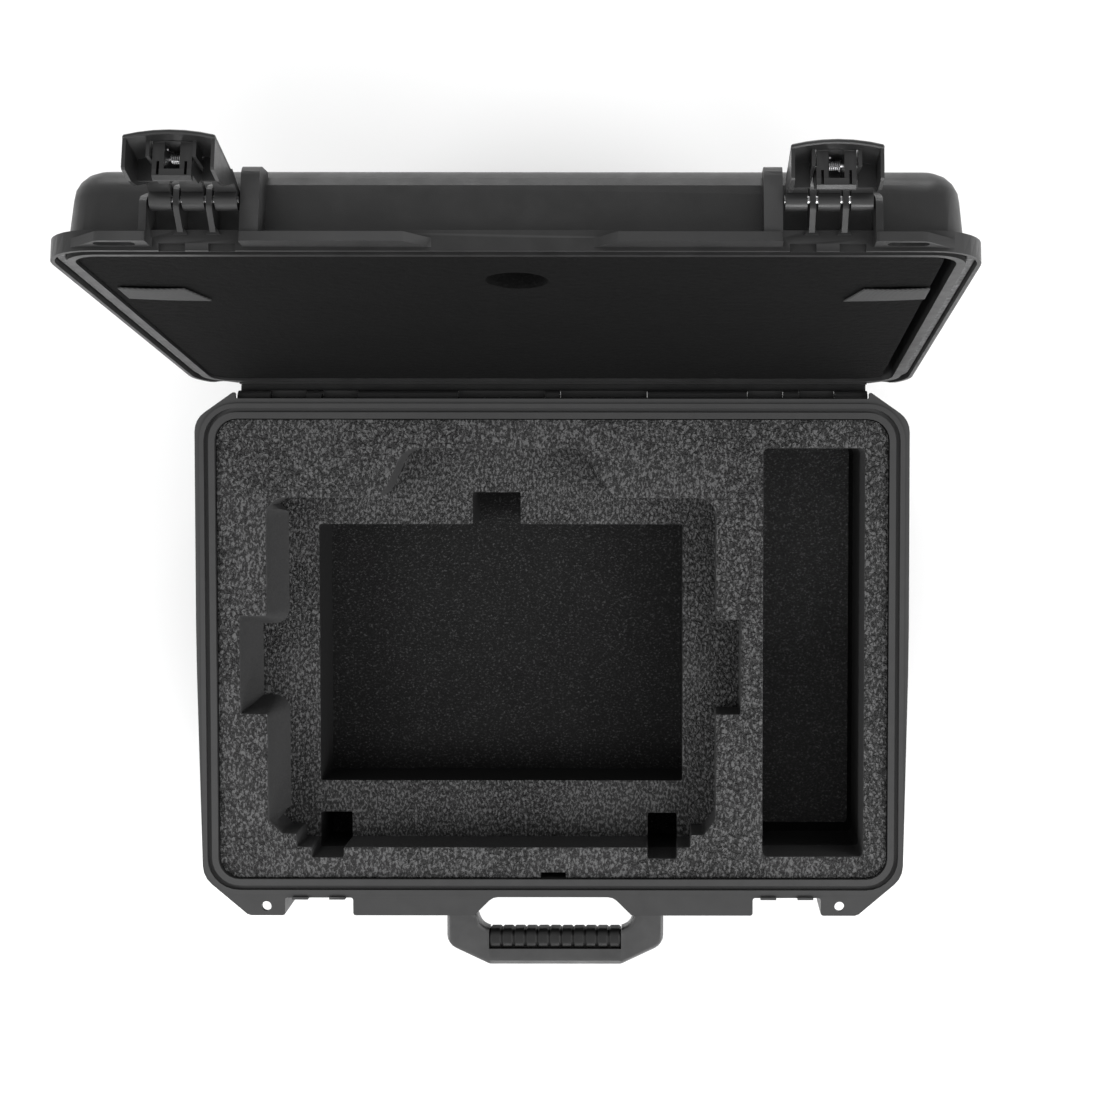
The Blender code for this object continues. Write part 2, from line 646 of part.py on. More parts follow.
def recess_outline():
    """Shallow recess of the top layer: a hump behind, a tab at each side and two foot notches."""
    left, right, front, back = -0.1850, 0.1056, -0.1259, 0.1012
    notches = []
    for foot_left, foot_right, foot_front, _ in FEET:
        notches += [(foot_left, front, 0.001), (foot_left, foot_front, 0.001), (foot_right, foot_front, 0.001),
                    (foot_right, front, 0.001)]
    return rounded([
        (left, -0.1084, 0.004), (-0.1757, -0.1171, 0), (-0.1668, -0.1171, 0.001), (-0.1668, front, 0.001),
    ] + notches + [
        (0.0892, front, 0.001), (0.0892, -0.1178, 0.001), (0.0980, -0.1178, 0.003), (right, -0.1073, 0.005),
        (right, -0.0390, 0.001), (0.1216, -0.0390, 0.001), (0.1216, 0.0226, 0.001), (right, 0.0226, 0.001),
        (right, back, 0.012), (0.0393, back, 0.012), (0.0198, 0.1332, 0.014), (-0.0957, 0.1332, 0.014),
        (-0.1101, back, 0.012), (left, back, 0.012), (left, 0.0246, 0.001), (-0.2025, 0.0246, 0.001),
        (-0.2025, -0.0390, 0.001), (left, -0.0390, 0.001),
    ])


def bay_outline():
    return rectangle(*BAY, 0.003)


def pocket_outline():
    """Deep square pocket with a finger tab behind."""
    left, right, front, back = POCKET
    return rounded([(left, front, 0.001), (right, front, 0.001), (right, back, 0.001), (-0.0235, back, 0.001),
                    (-0.0235, 0.1039, 0.001), (-0.0549, 0.1039, 0.001), (-0.0549, back, 0.001),
                     (left, back, 0.001)])


def foam_top():
    layer = slab("foam_top", [foam_plan(), recess_outline(), bay_outline()], MIDDLE_TOP + SEAM, FOAM_TOP)
    return cut(layer, [block("finger notch", -0.0082, 0.0082, -0.16, -0.1425, 0.0800, 0.1400)])


def foam_middle():
    feet = [rectangle(*foot, 0.001) for foot in FEET]
    outlines = [foam_plan(), pocket_outline(), bay_outline()] + feet
    return slab("foam_middle", outlines, LOWER_TOP + SEAM, MIDDLE_TOP)


def foam_lower():
    return slab("foam_lower", [foam_plan(), bay_outline()], PAD_TOP + SEAM, LOWER_TOP)


def foam_pad():
    return tub("foam_pad", foam_plan(), PAD_TOP, FLOOR + CLEAR, 0.0, 0.0075)


def lid_foam():
    base = BASE_HEIGHT
    foam = tub("lid_foam", rectangle(-0.2162, 0.2108, -0.1468, 0.1524, 0.0125), base + 0.0015,
               base + LID_HEIGHT - 0.0044, 0.0, 0.0114)
    return cut(foam, [rod("finger hole", (-0.0028, -0.0965, base), "Z", 0.0160, 0.0400, 32)])


def lid_strap(name, side):
    """Flat webbing tab that pulls the lid foam out."""
    left, right = sorted((side * 0.1680, side * 0.2105))
    return block(name, left, right, -0.0865, -0.0645, BASE_HEIGHT, BASE_HEIGHT + 0.0012)


# ---- valve ----------------------------------------------------------------------------------------------


def turned(name, profile, segments=20):
    """Ring or disc turned about the valve's axis, from (radius, depth) points down its outer side."""
    shape = bmesh.new()
    points = [shape.verts.new((radius, 0, -depth)) for radius, depth in profile]
    for first, second in zip(points, points[1:] + points[:1]):
        if first.co.x > 0 or second.co.x > 0:
            shape.edges.new((first, second))
    mesh = bpy.data.meshes.new(name)
    shape.to_mesh(mesh)
    shape.free()
    piece = solid(name, mesh)
    spin = piece.modifiers.new("turn", "SCREW")
    spin.steps = segments
    spin.render_steps = segments
    spin.use_merge_vertices = True
    spin.merge_threshold = 1e-5
    result = bpy.data.meshes.new_from_object(piece.evaluated_get(bpy.context.evaluated_depsgraph_get()))
    bpy.data.objects.remove(piece, do_unlink=True)
    shape = bmesh.new()
    shape.from_mesh(result)
    shape.transform(Matrix.Translation((VALVE_X, 0, VALVE_Z)) @ Matrix.Rotation(math.pi / 2, 4, "X"))
    bmesh.ops.remove_doubles(shape, verts=shape.verts, dist=1e-6)
    return from_bmesh(name, shape)


def valve(wall):
    """Relief valve through the front wall: vented cap, O-ring, membrane and nut, from the wall's outer face."""
    body = turned("valve_body", [(0.0035, wall - 0.0060), (0.0105, wall - 0.0060), (0.0115, wall - 0.0048),
                                 (0.0115, wall - 0.0022), (0.0060, wall - 0.0022), (0.0060, wall + 0.0072),
                                 (0.0040, wall + 0.0072), (0.0040, wall - 0.0020), (0.0035, wall - 0.0020)])
    vents = [rod("vent", (VALVE_X, wall - 0.0040, VALVE_Z), "X", 0.0008, 0.0300, 8)]
    vents.append(rod("vent", (VALVE_X, wall - 0.0040, VALVE_Z), "Z", 0.0008, 0.0300, 8))
    cut(body, vents)
    o_ring = turned("valve_o_ring", [(0.0082 + 0.0009 * math.cos(a), wall - 0.0013 - 0.0009 * math.sin(a))
                                     for a in [math.tau * step / 8 for step in range(8)]], 20)
    membrane = rod("valve_membrane", (VALVE_X, wall + 0.0050, VALVE_Z), "Y", 0.0036, 0.0010)
    nut = rod("valve_nut", (VALVE_X, WELL_FRONT + 0.0018, VALVE_Z), "Y", 0.0100, 0.0028, 6)
    cut(nut, [rod("thread", (VALVE_X, WELL_FRONT, VALVE_Z), "Y", 0.0064, 0.0200)])
    return [body, o_ring, membrane, nut]


# ---- assembly -------------------------------------------------------------------------------------------


def empty(name, place, swing, parent=None):
    frame = bpy.data.objects.new(name, None)
    frame.empty_display_size = 0.02
    frame.location = place
    frame.rotation_euler.x = swing
    frame.parent = parent
    return frame


def hang(pieces, frame, pivot):
    """Give pieces their origin at a pivot and parent them to the empty there."""
    for piece in pieces:
        piece.data.transform(Matrix.Translation(-Vector(pivot)))
        piece.parent = frame


def finish(pieces, look):
    for piece in pieces:
        piece.data.materials.clear()
        piece.data.materials.append(look)
        piece.data.shade_smooth()
        piece.data.set_sharp_from_angle(angle=math.radians(30))


def build_latch(word, side, lid, looks):
    """One latch with its button, spring and pins, hung on the lid."""
    x = side * LATCH_X
    body = latch_body("latch_body_" + word)
    button = latch_button("latch_button_" + word)
    spring = latch_spring("latch_spring_" + word)
    button_pin = span("latch_button_pin_" + word, -0.0112, 0.0112, BUTTON_Y, BUTTON_Z, 0.0012, 12)
    pivot_pin = span("latch_pivot_pin_" + word, -0.0212, 0.0212, 0, 0, PIN_RADIUS, 12)
    finish([body], looks["plastic"])
    finish([button], looks["button"])
    finish([spring, button_pin, pivot_pin], looks["steel"])
    hinge = Vector((0, HINGE_Y, HINGE_Z))
    pivot_pin.data.transform(Matrix.Translation(Vector((x, LATCH_Y, LATCH_Z)) - hinge))
    pivot_pin.parent = lid
    latch = empty("latch_axis_" + word, Vector((x, LATCH_Y, LATCH_Z)) - hinge, -LATCH_OPEN[word], lid)
    rocker = empty("button_axis_" + word, (0, BUTTON_Y, BUTTON_Z), 0, latch)
    hang([body, spring, button_pin], latch, (0, 0, 0))
    hang([button], rocker, (0, BUTTON_Y, BUTTON_Z))
    return [body, button, spring, button_pin, pivot_pin], [latch, rocker]


def build():
    clear_scene()
    looks = {
        "plastic": material("moulded plastic", (0.035, 0.035, 0.036), 0.48),
        "button": material("button plastic", (0.045, 0.045, 0.046), 0.42),
        "rubber": material("soft grip rubber", (0.018, 0.018, 0.018), 0.75),
        "gasket": material("foam rubber gasket", (0.24, 0.24, 0.23), 0.85),
        "steel": material("stainless steel", (0.60, 0.60, 0.58), 0.28, 1.0),
        "crackle": material("crackle skin foam", (0.050, 0.050, 0.050), 0.80),
        "foam": material("fine cell foam", (0.018, 0.018, 0.018), 0.95),
        "webbing": material("grey webbing", (0.070, 0.070, 0.070), 0.85),
    }
    base = base_shell()
    lid = lid_shell()
    gasket = lid_gasket()
    liner = lid_foam()
    straps = [lid_strap("lid_strap_left", -1), lid_strap("lid_strap_right", 1)]
    hinge_pins = [
        span("hinge_pin_left", -0.2020, -0.0700, HINGE_Y, HINGE_Z, PIN_RADIUS, 12),
        span("hinge_pin_centre", -0.0660, 0.0660, HINGE_Y, HINGE_Z, PIN_RADIUS, 12),
        span("hinge_pin_right", 0.0700, 0.2020, HINGE_Y, HINGE_Z, PIN_RADIUS, 12),
    ]
    frame, grip = handle_frame(), handle_grip()
    handle_pins = [
        span("handle_pin_left", -0.0762, -0.0521, HANDLE_Y, HANDLE_Z, 0.0025, 12),
        span("handle_pin_right", 0.0521, 0.0762, HANDLE_Y, HANDLE_Z, 0.0025, 12),
    ]
    wall = -0.1509 + 0.0020 * (1 - VALVE_Z / BASE_HEIGHT)
    valve_pieces = valve(wall)
    middle, lower = foam_middle(), foam_lower()
    for layer in (middle, lower):
        cut(layer, [block("nut clearance", VALVE_X - 0.0125, VALVE_X + 0.0125, -0.16, WELL_FRONT + 0.0050,
                          VALVE_Z - 0.0125, VALVE_Z + 0.0125)])
    skins = [foam_top(), middle, lower]
    pad = foam_pad()

    finish([base, lid, frame], looks["plastic"])
    finish([gasket], looks["gasket"])
    finish([liner, pad], looks["foam"])
    finish(straps, looks["webbing"])
    finish(hinge_pins + handle_pins, looks["steel"])
    finish([grip], looks["rubber"])
    finish(skins, looks["crackle"])
    finish([valve_pieces[0], valve_pieces[3]], looks["button"])
    finish(valve_pieces[1:3], looks["rubber"])

    hinge = (0, HINGE_Y, HINGE_Z)
    lid_axis = empty("lid_axis", hinge, -LID_OPEN)
    hang([lid, gasket, liner] + straps, lid_axis, hinge)
    handle_axis = empty("handle_axis", (0, HANDLE_Y, HANDLE_Z), 0)
    hang([frame, grip], handle_axis, (0, HANDLE_Y, HANDLE_Z))
    parts = [base, lid, gasket, liner, frame, grip, pad] + straps + hinge_pins + handle_pins
    parts += valve_pieces + skins
    frames = [lid_axis, handle_axis]
    for word, side in (("left", -1), ("right", 1)):
        pieces, axes = build_latch(word, side, lid_axis, looks)
        parts += pieces
        frames += axes

    group = bpy.data.collections.new(ASSEMBLY)
    bpy.context.scene.collection.children.link(group)
    for item in parts + frames:
        for old in list(item.users_collection):
            old.objects.unlink(item)
        group.objects.link(item)


build()
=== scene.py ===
"""Looks for the open equipment case: moulded shells, cut foam inlay, gasket, latches and handle.

Everything is in metres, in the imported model's frame: +X right, +Y from the handle to the hinge, +Z up.
Lid pieces are built where they lie with the lid shut and are then swung open by the lid joint's own axis
and range.
"""
import json
import math

import bmesh
import bpy
import numpy as np
from mathutils import Matrix, Vector, geometry, noise
from mathutils.kdtree import KDTree


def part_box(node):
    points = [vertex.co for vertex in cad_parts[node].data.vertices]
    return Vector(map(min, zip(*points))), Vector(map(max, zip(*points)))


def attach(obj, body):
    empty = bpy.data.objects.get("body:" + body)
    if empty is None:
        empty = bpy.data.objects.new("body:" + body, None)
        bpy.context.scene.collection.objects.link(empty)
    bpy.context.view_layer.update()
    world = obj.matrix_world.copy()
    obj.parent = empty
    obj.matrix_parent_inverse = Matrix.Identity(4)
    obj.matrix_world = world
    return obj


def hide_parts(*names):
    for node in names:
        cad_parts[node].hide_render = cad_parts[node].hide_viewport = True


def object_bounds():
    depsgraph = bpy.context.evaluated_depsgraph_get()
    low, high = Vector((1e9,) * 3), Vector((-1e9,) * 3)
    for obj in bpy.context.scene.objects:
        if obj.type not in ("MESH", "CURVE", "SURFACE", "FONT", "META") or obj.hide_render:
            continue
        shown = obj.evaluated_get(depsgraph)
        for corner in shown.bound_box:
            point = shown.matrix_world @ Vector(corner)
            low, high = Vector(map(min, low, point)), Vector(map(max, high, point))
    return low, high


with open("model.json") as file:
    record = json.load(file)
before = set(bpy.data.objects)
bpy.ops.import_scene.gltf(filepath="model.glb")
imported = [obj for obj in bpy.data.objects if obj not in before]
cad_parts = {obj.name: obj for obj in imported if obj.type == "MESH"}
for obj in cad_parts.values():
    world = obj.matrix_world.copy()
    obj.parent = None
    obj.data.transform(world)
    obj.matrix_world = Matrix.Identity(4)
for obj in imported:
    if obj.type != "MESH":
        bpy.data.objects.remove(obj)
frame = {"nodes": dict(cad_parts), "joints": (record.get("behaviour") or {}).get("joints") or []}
CAD_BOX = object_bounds()
JOINTS = {joint["name"]: joint for joint in frame["joints"]}

# Foam
SKIN_STEP = 0.0018
WALL_STEP = 0.0030
FOAM_EDGE = 0.0007
EDGE_SHARE = 0.3
SKIN_ROUGH = 0.00022
WALL_ROUGH = 0.00022
SLOPE_FOOT = 0.0080
SLOPE_POWER = 1.3
LID_FOAM_TURN = 0.0114

# Lid trim, beside the CAD solids that it stands for
STRAP_TIP = 0.0085
STRAP_DROOP = 0.0050
STRAP_THICK = 0.0008
STRAP_LIFT = 0.0009
STRAP_LENGTHS = 24
STRAP_WIDTHS = 6
FINGER_DEPTH = 0.0180
SEAL_STEP = 0.0020
SEAL_SIDES = 16
SEAL_SQUARE = 0.55
SEAL_ROUGH = 0.00012
SPRING_TURNS = 6
SPRING_STEPS = 20
SPRING_LEG = 0.0012
SPRING_COIL = 0.0022
SPRING_WIRE = 0.00042

# Moulded edges
EDGE_LARGE = 0.0006
EDGE_MEDIUM = 0.00035
EDGE_SMALL = 0.0003
EDGE_SEGMENTS = 2
EDGE_ANGLE = math.radians(32)
FLAT_ANGLE = math.radians(0.5)
FOAM_SHARP_ANGLE = math.radians(50)
WELD = 1e-6


# ---- camera and studio ----------------------------------------------------------------------------------


def make_camera():
    lens = bpy.data.cameras.new("camera")
    lens.sensor_width = 36.0
    lens.lens = 62.64
    lens.shift_x = -0.1083
    lens.shift_y = -0.0207
    lens.clip_start = 0.05
    camera = bpy.data.objects.new("camera", lens)
    bpy.context.scene.collection.objects.link(camera)
    camera.location = (0.0763, 0.1372, 1.3606)
    camera.rotation_euler = (-0.0444, 0.0009, 0.0009)
    bpy.context.scene.camera = camera


def area_light(name, place, aim, size, power):
    lamp = bpy.data.lights.new(name, "AREA")
    lamp.shape = "RECTANGLE"
    lamp.size, lamp.size_y = size
    lamp.energy = power
    holder = bpy.data.objects.new(name, lamp)
    bpy.context.scene.collection.objects.link(holder)
    holder.location = place
    holder.rotation_euler = (Vector(aim) - Vector(place)).to_track_quat("-Z", "Y").to_euler()


def make_studio():
    bpy.context.scene.view_settings.view_transform = "Standard"
    world = bpy.data.worlds.new("studio")
    bpy.context.scene.world = world
    world.use_nodes = True
    sky = world.node_tree.nodes["Background"]
    sky.inputs["Color"].default_value = (1.0, 1.0, 1.0, 1.0)
    sky.inputs["Strength"].default_value = 0.62
    area_light("softbox left", (-1.7, -0.6, 1.5), (0, 0.05, 0.1), (0.9, 1.4), 26)
    area_light("softbox right", (1.7, -0.6, 1.5), (0, 0.05, 0.1), (0.9, 1.4), 30)
    area_light("softbox front", (0.3, -1.9, 1.3), (0, 0, 0.15), (1.6, 0.8), 24)
    area_light("softbox back", (0.0, 1.6, 0.55), (0, 0.4, 0.0), (1.8, 0.4), 14)
    shape = bmesh.new()
    bmesh.ops.create_circle(shape, cap_ends=True, radius=6.0, segments=64)
    mesh = bpy.data.meshes.new("floor")
    shape.to_mesh(mesh)
    shape.free()
    floor = bpy.data.objects.new("floor", mesh)
    bpy.context.scene.collection.objects.link(floor)
    floor.location.z = CAD_BOX[0].z
    mesh.materials.append(plain_floor())


# ---- materials ------------------------------------------------------------------------------------------


class Finish:
    """A node material under construction: a Principled shader and helpers that add and link nodes."""

    def __init__(self, name, roughness):
        self.material = bpy.data.materials.new(name)
        self.material.use_nodes = True
        self.tree = self.material.node_tree
        self.shader = self.tree.nodes["Principled BSDF"]
        self.shader.inputs["Roughness"].default_value = roughness
        self.place = self.tree.nodes.new("ShaderNodeTexCoord").outputs["Object"]
        self.last_normal = None

    def add(self, kind, **values):
        made = self.tree.nodes.new("ShaderNode" + kind)
        for name, value in values.items():
            if name in made.inputs:
                made.inputs[name].default_value = value
            else:
                setattr(made, name, value)
        return made

    def link(self, source, target):
        self.tree.links.new(source, target)

    def stretched(self, scale):
        mapping = self.add("Mapping")
        mapping.inputs["Scale"].default_value = scale
        self.link(self.place, mapping.inputs["Vector"])
        return mapping.outputs["Vector"]

    def noise(self, size, detail=3.0, rough=0.55, where=None, distortion=0.0):
        """Noise whose features are about one size across, in metres."""
        made = self.add("TexNoise", Scale=1.0 / size, Detail=detail, Roughness=rough, Distortion=distortion)
        self.link(where or self.place, made.inputs["Vector"])
        return made.outputs["Fac"]

    def ramp(self, source, stops):
        made = self.add("ValToRGB")
        stripes = made.color_ramp.elements
        while len(stripes) < len(stops):
            stripes.new(0.5)
        for stripe, (position, value) in zip(stripes, stops):
            stripe.position = position
            shade = value if hasattr(value, "__len__") else (value, value, value)
            stripe.color = (*shade, 1.0)
        self.link(source, made.inputs["Fac"])
        return made.outputs["Color"]

    def mix(self, factor, first, second, blend="MIX"):
        made = self.add("Mix", data_type="RGBA", blend_type=blend)
        for socket, value in ((0, factor), (6, first), (7, second)):
            if isinstance(value, bpy.types.NodeSocket):
                self.link(value, made.inputs[socket])
            elif hasattr(value, "__len__"):
                made.inputs[socket].default_value = (*value, 1.0)
            else:
                made.inputs[socket].default_value = value
        return made.outputs[2]

    def bump(self, source, height, strength=1.0):
        made = self.add("Bump", Distance=height, Strength=strength)
        self.link(source, made.inputs["Height"])
        if self.last_normal:
            self.link(self.last_normal, made.inputs["Normal"])
        self.last_normal = made.outputs["Normal"]
        self.link(self.last_normal, self.shader.inputs["Normal"])

    def colour(self, source):
        self.link(source, self.shader.inputs["Base Color"])

    def roughness(self, source):
        self.link(source, self.shader.inputs["Roughness"])


def grey(value):
    return (value, value, value * 1.01)


def plain_floor():
    finish = Finish("pale floor", 0.9)
    finish.colour(finish.ramp(finish.noise(0.5, 2), [(0.3, 0.90), (0.7, 0.92)]))
    return finish.material


def moulded_plastic(name, shade, gloss, shine=0.35, grain=0.00005):
    """Injection moulded plastic: fine spark-eroded grain, faint flow marks, handling smudges and a painted
    highlight on convex edges.
    """
    finish = Finish(name, gloss)
    finish.shader.inputs["Specular IOR Level"].default_value = shine
    flow = finish.noise(0.045, 4, where=finish.stretched((1.0, 0.35, 0.6)), distortion=0.4)
    smudge = finish.noise(0.011, 6, 0.7)
    low, high = grey(shade * 0.80), grey(shade * 1.25)
    broad = finish.ramp(flow, [(0.3, low), (0.7, high)])
    body = finish.mix(0.35, broad, finish.ramp(smudge, [(0.35, low), (0.75, high)]))
    edges = finish.add("NewGeometry")
    # Convex edges are painted lighter in the colour: a painted highlight along every edge.
    painted_edge_highlight = finish.ramp(edges.outputs["Pointiness"], [(0.52, 0.0), (0.60, 0.6)])
    finish.colour(finish.mix(painted_edge_highlight, body, grey(shade * 3.0)))
    finish.roughness(finish.ramp(smudge, [(0.3, gloss - 0.06), (0.75, gloss + 0.10)]))
    finish.bump(finish.noise(0.0006, 2), grain)
    return finish.material


def grip_rubber():
    finish = Finish("grip rubber", 0.5)
    finish.shader.inputs["Specular IOR Level"].default_value = 0.35
    finish.colour(finish.ramp(finish.noise(0.008, 4), [(0.3, grey(0.003)), (0.8, grey(0.006))]))
    finish.roughness(finish.ramp(finish.noise(0.012, 3), [(0.3, 0.42), (0.8, 0.58)]))
    finish.bump(finish.noise(0.0005, 2), 0.00005)
    return finish.material


def steel():
    finish = Finish("stainless steel", 0.25)
    finish.shader.inputs["Metallic"].default_value = 1.0
    drawn = finish.noise(0.0006, 4, where=finish.stretched((0.1, 1.0, 1.0)))
    finish.colour(finish.ramp(drawn, [(0.3, grey(0.52)), (0.8, grey(0.72))]))
    finish.roughness(finish.ramp(drawn, [(0.2, 0.18), (0.8, 0.34)]))
    return finish.material


def crackle_foam(name, wall_shade):
    """Cut polyethylene foam: short raised flecks and creased patches on its skin, painted shade in the
    creases, smoother cut walls.
    """
    finish = Finish(name, 0.6)
    finish.shader.inputs["Specular IOR Level"].default_value = 0.25
    fleck = finish.noise(0.0015, 2, 0.6, where=finish.stretched((1.0, 0.60, 1.0)), distortion=0.5)
    fine = finish.noise(0.0008, 2, 0.6)
    warp = finish.add("VectorMath", operation="ADD")
    wobble = finish.add("TexNoise", Scale=1.0 / 0.007, Detail=3.0)
    soft = finish.add("VectorMath", operation="SCALE", Scale=0.006)
    finish.link(finish.place, wobble.inputs["Vector"])
    finish.link(wobble.outputs["Color"], soft.inputs[0])
    finish.link(finish.place, warp.inputs[0])
    finish.link(soft.outputs["Vector"], warp.inputs[1])
    crease = finish.add("TexVoronoi", feature="DISTANCE_TO_EDGE", Scale=1.0 / 0.0040, Randomness=1.0)
    finish.link(warp.outputs["Vector"], crease.inputs["Vector"])
    valley = finish.ramp(crease.outputs["Distance"], [(0.01, 0.05), (0.12, 1.0)])
    patch = finish.ramp(finish.noise(0.09, 3, 0.6), [(0.44, 0.15), (0.60, 0.85)])
    painted_crease_shade_and_height = finish.mix(patch, valley, (1.0, 1.0, 1.0))
    body = finish.ramp(fleck, [(0.40, grey(0.005)), (0.50, grey(0.022)), (0.60, grey(0.112))])
    body = finish.mix(0.18, body, finish.ramp(fine, [(0.35, grey(0.008)), (0.62, grey(0.080))]))
    # The crease valleys darken the skin colour, which is painted shade in the creases; the same valleys are
    # also used as bump height.
    skin = finish.mix(0.60, body, painted_crease_shade_and_height, "MULTIPLY")
    geometry_facts = finish.add("NewGeometry")
    facing = finish.add("SeparateXYZ")
    finish.link(geometry_facts.outputs["True Normal"], facing.inputs["Vector"])
    flat = finish.ramp(facing.outputs["Z"], [(0.50, 0.0), (0.85, 1.0)])
    cut = finish.ramp(fine, [(0.3, grey(wall_shade * 0.7)), (0.7, grey(wall_shade * 1.35))])
    finish.colour(finish.mix(flat, cut, skin))
    height = finish.mix(0.35, fleck, fine)
    finish.bump(finish.mix(flat, (0.5, 0.5, 0.5), height), 0.0011, 0.9)
    finish.bump(finish.mix(flat, (1.0, 1.0, 1.0), painted_crease_shade_and_height), 0.0007, 0.8)
    return finish.material


def fine_foam(name="fine cell foam", shade=0.013, glint=5.5):
    """Sawn foam: open fine cells, the brightest of them painted as glints."""
    finish = Finish(name, 0.9)
    finish.shader.inputs["Specular IOR Level"].default_value = 0.08
    cell = finish.noise(0.0012, 2, 0.6, where=finish.stretched((0.8, 1.0, 1.0)))
    patch = finish.noise(0.03, 3)
    # The last stop paints bright specks into the colour: painted glints on the cells.
    stops = [(0.40, grey(shade * 0.7)), (0.58, grey(shade * 1.2)), (0.72, grey(shade * glint))]
    body = finish.ramp(cell, stops)
    broad = finish.ramp(patch, [(0.3, grey(shade * 0.8)), (0.7, grey(shade * 1.3))])
    finish.colour(finish.mix(0.3, body, broad))
    finish.bump(cell, 0.0006, 0.7)
    return finish.material


def gasket_foam():
    """Cellular rubber seal: pale, mottled and streaked along its length."""
    finish = Finish("gasket foam", 0.8)
    streak = finish.noise(0.004, 5, 0.7, distortion=0.8)
    cell = finish.noise(0.0011, 3, 0.6)
    body = finish.ramp(streak, [(0.3, grey(0.055)), (0.5, grey(0.14)), (0.72, grey(0.32))])
    finish.colour(finish.mix(0.25, body, finish.ramp(cell, [(0.3, grey(0.04)), (0.7, grey(0.26))])))
    finish.bump(streak, 0.0006, 0.6)
    finish.bump(cell, 0.0003, 0.5)
    return finish.material


def webbing():
    """Woven tape: diagonal twill ribs across its width."""
    finish = Finish("grey webbing", 0.8)
    twill = finish.add("TexWave", Scale=230.0, Distortion=0.3, Detail=1.0, wave_type="BANDS",
                       bands_direction="DIAGONAL")
    finish.link(finish.place, twill.inputs["Vector"])
    finish.colour(finish.ramp(twill.outputs["Fac"], [(0.1, grey(0.018)), (0.9, grey(0.046))]))
    finish.bump(twill.outputs["Fac"], 0.0002, 0.8)
    return finish.material


# ---- mesh helpers ---------------------------------------------------------------------------------------


def swing(joint, share=1.0):
    """Matrix that turns a piece about a hinge joint's axis, from rest to a share of its upper limit."""
    facts = JOINTS[joint]
    pivot = Matrix.Translation(facts["pos_m"])
    turn = Matrix.Rotation(math.radians(facts["range_deg"][1]) * share, 4, Vector(facts["axis"]))
    return pivot @ turn @ pivot.inverted()


SHUT = swing("lid_hinge")
OPEN = SHUT.inverted()


def piece(name, mesh, body, finish, slot, *nodes):
    """Link a new mesh that rides on a body and stands for CAD nodes."""
    made = bpy.data.objects.new(name, mesh)
    bpy.context.scene.collection.objects.link(made)
    mesh.materials.clear()
    mesh.materials.append(finish)
    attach(made, body)
    if nodes:
        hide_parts(*nodes)
    return made


def moulded_copy(node, name, body, finish, slot, edge, whole=True):
    """Copy a CAD solid and round its sharp edges.

    Its flat faces are made whole again first, except on the shells: their notched and ribbed faces shade
    in dark patches when they are joined.
    """
    shape = bmesh.new()
    shape.from_mesh(frame["nodes"][node].data)
    bmesh.ops.remove_doubles(shape, verts=shape.verts, dist=WELD)
    if whole:
        bmesh.ops.dissolve_limit(shape, angle_limit=FLAT_ANGLE, verts=shape.verts, edges=shape.edges)
    mesh = bpy.data.meshes.new(name)
    shape.to_mesh(mesh)
    shape.free()
    made = piece(name, mesh, body, finish, slot, node)
    rounding = made.modifiers.new("rounding", "BEVEL")
    rounding.width = edge
    rounding.segments = EDGE_SEGMENTS
    rounding.limit_method = "ANGLE"
    rounding.angle_limit = EDGE_ANGLE
    rounding.use_clamp_overlap = True
    rounding.miter_outer = "MITER_ARC"
    mesh.shade_smooth()
    smooth = made.modifiers.new("flat faces stay flat", "WEIGHTED_NORMAL")
    smooth.keep_sharp = True
    mesh.set_sharp_from_angle(angle=EDGE_ANGLE)
    return made


def outlines_at(node, height, turn=Matrix.Identity(4)):
    """Closed outlines of a CAD solid's flat face at a height, the longest first, after a turn."""
    shape = bmesh.new()
    shape.from_mesh(frame["nodes"][node].data)
    shape.transform(turn)
    bmesh.ops.remove_doubles(shape, verts=shape.verts, dist=WELD)
    shape.normal_update()
    level = {corner for corner in shape.verts if abs(corner.co.z - height) < 2e-5}
    following = {}
    for face in shape.faces:
        if all(corner in level for corner in face.verts):
            for loop in face.loops:
                other = [side for side in loop.edge.link_faces if side is not face]
                if other and not all(corner in level for corner in other[0].verts):
                    following[loop.vert] = loop.link_loop_next.vert
    outlines = []
    while following:
        first = next(iter(following))
        outline, here = [], first
        while here in following:
            outline.append(here.co.xy.copy())
            here = following.pop(here)
        outlines.append(outline)
    shape.free()
    return sorted(outlines, key=length_of, reverse=True)


def length_of(outline):
    return sum((outline[index] - outline[index - 1]).length for index in range(len(outline)))


def resampled(outline, step):
    """Outline with extra points, so that no side is longer than a step."""
    points = []
    for index, here in enumerate(outline):
        after = outline[(index + 1) % len(outline)]
        parts = max(1, math.ceil((after - here).length / step))
        points += [here.lerp(after, part / parts) for part in range(parts)]
    return points


def side_normals(outline):
    """Unit vectors square to an outline at each point, to its right when walked in order."""
    normals = []
    for index, here in enumerate(outline):
        along = (outline[(index + 1) % len(outline)] - outline[index - 1]).normalized()
        normals.append(Vector((along.y, -along.x)))
    return normals


def inside(points, outlines):
    """Which of an (n, 2) array's points lie inside an outline and outside its holes: even-odd rule."""
    hits = np.zeros(len(points), int)
    for outline in outlines:
        corners = np.array([tuple(corner) for corner in outline])
        for first, second in zip(corners, np.roll(corners, -1, axis=0)):
            if first[1] == second[1]:
                continue
            crosses = (points[:, 1] >= min(first[1], second[1])) & (points[:, 1] < max(first[1], second[1]))
            where = first[0] + (points[:, 1] - first[1]) * (second[0] - first[0]) / (second[1] - first[1])
            hits += crosses & (points[:, 0] < where)
    return hits % 2 == 1


def near(points, outlines, reach):
    """Which points lie closer than a reach to an outline's own points."""
    corners = [corner for outline in outlines for corner in outline]
    tree = KDTree(len(corners))
    for index, corner in enumerate(corners):
        tree.insert((corner[0], corner[1], 0), index)
    tree.balance()
    return np.array([tree.find((x, y, 0))[2] < reach for x, y in points])


